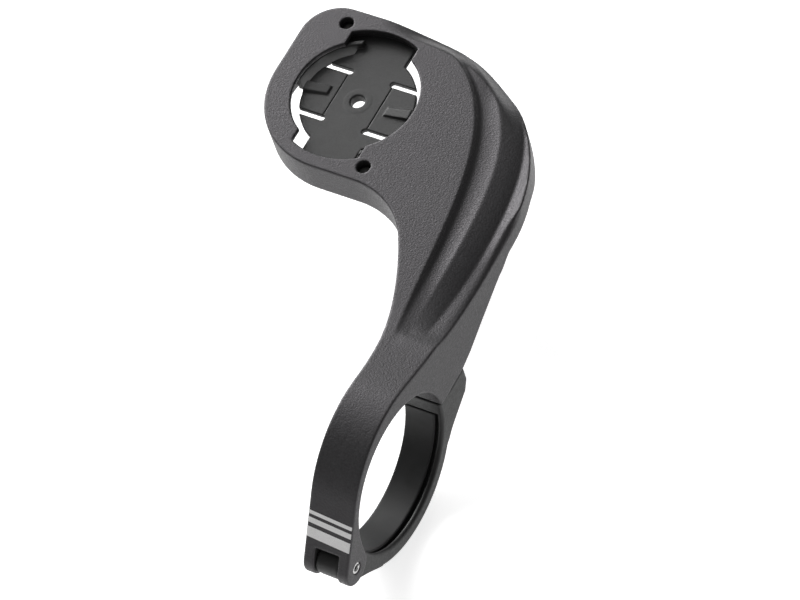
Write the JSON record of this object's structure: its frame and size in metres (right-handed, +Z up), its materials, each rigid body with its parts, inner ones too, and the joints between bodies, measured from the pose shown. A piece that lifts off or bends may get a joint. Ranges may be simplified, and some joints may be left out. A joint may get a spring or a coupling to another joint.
{
  "type": "out-front handlebar mount for a cycling computer",
  "caption": "Out-front handlebar mount for a cycling computer: curved plastic arm with a quarter turn receptacle and a hinged clamp closed by a bolt.",
  "frame": {"origin": "on the axis of the handlebar bore, in the middle of the arm's width", "axes": "+X along the handlebar to the rider's right, +Y forward, +Z up, with the head level"},
  "size_m": [0.0617, 0.1083, 0.0384],
  "materials": {
    "moulding": "fine sandy grain, glass filled",
    "insert": "smooth moulded",
    "jaw": "smooth moulded",
    "liner": "smooth rubber",
    "pin": "ground",
    "washer": "plain",
    "bolt": "black oxide",
    "screw": "black oxide",
    "brass": "plain"
  },
  "bodies": {
    "mount_arm": {"arm": "moulding", "insert_plate": "insert", "insert_screw_front": "screw", "insert_screw_rear": "screw", "thread_insert": "brass", "hinge_pin": "pin"},
    "left_finger": {"detent_left": "insert"},
    "right_finger": {"detent_right": "insert"},
    "jaw": {"lower_jaw": "jaw", "jaw_liner": "liner"},
    "washer": {"bolt_washer": "washer"},
    "bolt": {"clamp_bolt": "bolt"}
  },
  "joints": [
    {"name": "jaw_hinge", "type": "hinge", "parent": "mount_arm", "child": "jaw", "pos_m": [0, -0.0197, -0.003], "axis": [-1, 0, 0], "range_deg": [0, 90]},
    {"name": "bolt_travel", "type": "slide", "parent": "jaw", "child": "washer", "axis": [0, 0.1399, -0.9902], "range_m": [0, 0.004]},
    {"name": "bolt_turn", "type": "hinge", "parent": "washer", "child": "bolt", "pos_m": [0, 0.021, 0], "axis": [0, 0.1399, -0.9902], "range_deg": [0, 2881]},
    {"name": "left_finger_flex", "type": "hinge", "parent": "mount_arm", "child": "left_finger", "pos_m": [-0.04355, 0.0664, 0.012], "axis": [0, -1, 0], "range_deg": [0, 3.5], "stiffness_Nm_per_rad": 0.6},
    {"name": "right_finger_flex", "type": "hinge", "parent": "mount_arm", "child": "right_finger", "pos_m": [-0.03345, 0.0664, 0.012], "axis": [0, 1, 0], "range_deg": [0, 3.5], "stiffness_Nm_per_rad": 0.6}
  ],
  "couplings": [
    {"joint": "bolt_turn", "follows": "bolt_travel", "rad_per_m": 12566}
  ]
}
